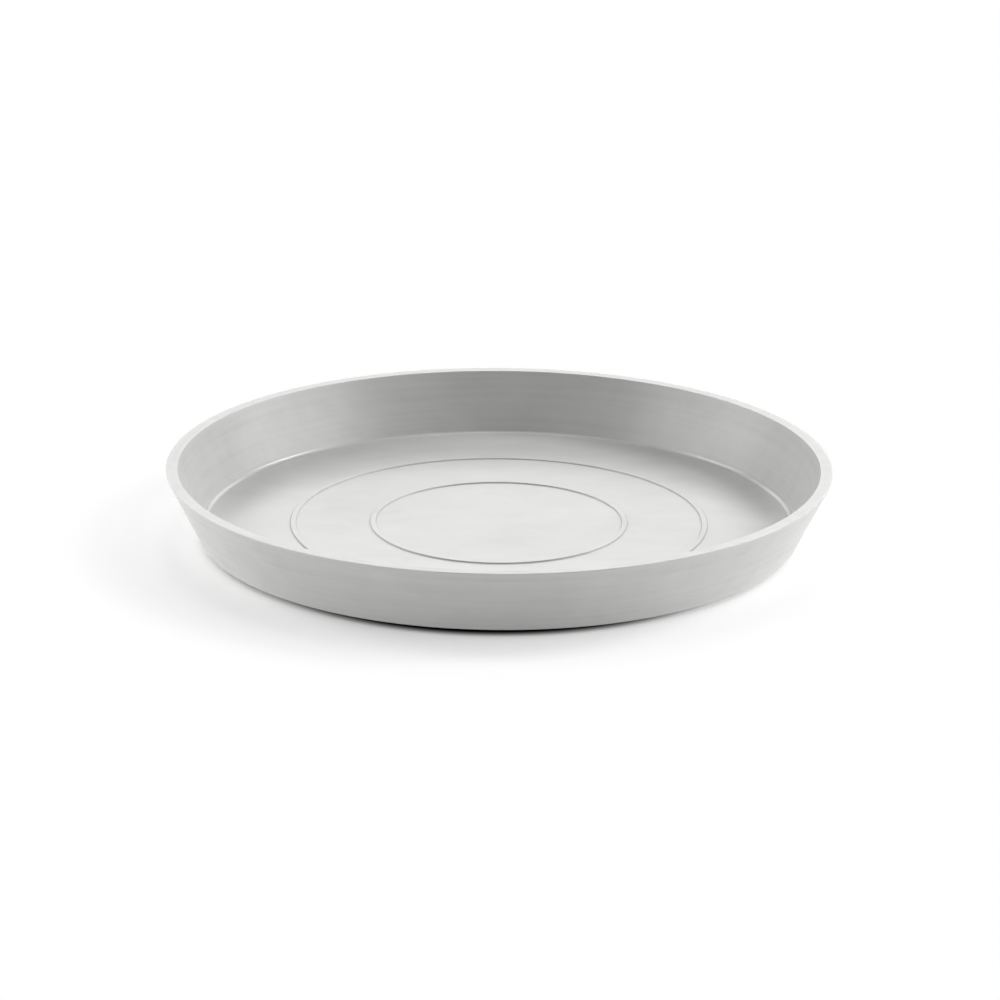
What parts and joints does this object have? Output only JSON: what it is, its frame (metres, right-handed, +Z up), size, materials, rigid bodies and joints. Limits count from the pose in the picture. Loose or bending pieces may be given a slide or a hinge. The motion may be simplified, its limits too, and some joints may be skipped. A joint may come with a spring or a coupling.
{
  "type": "plant saucer",
  "caption": "Round plant saucer with a flared wall, a flat rim and raised rings on its floor, standing on rubber pads; catches the water that drains from a pot.",
  "frame": {"origin": "on the ground, in the middle of the saucer, in the plane of the pads' lower faces", "axes": "+Z up along the saucer's axis of revolution; -Y towards the viewer of the picture; pad 1 lies on +X"},
  "size_m": [0.31, 0.31, 0.034],
  "materials": {
    "dish_plastic": "satin moulded plastic in a light warm grey",
    "pad_rubber": "matte dark rubber"
  },
  "bodies": {
    "root": {"dish": "dish_plastic", "foot_pad_1": "pad_rubber", "foot_pad_2": "pad_rubber", "foot_pad_3": "pad_rubber", "foot_pad_4": "pad_rubber", "foot_pad_5": "pad_rubber", "foot_pad_6": "pad_rubber"}
  },
  "joints": []
}
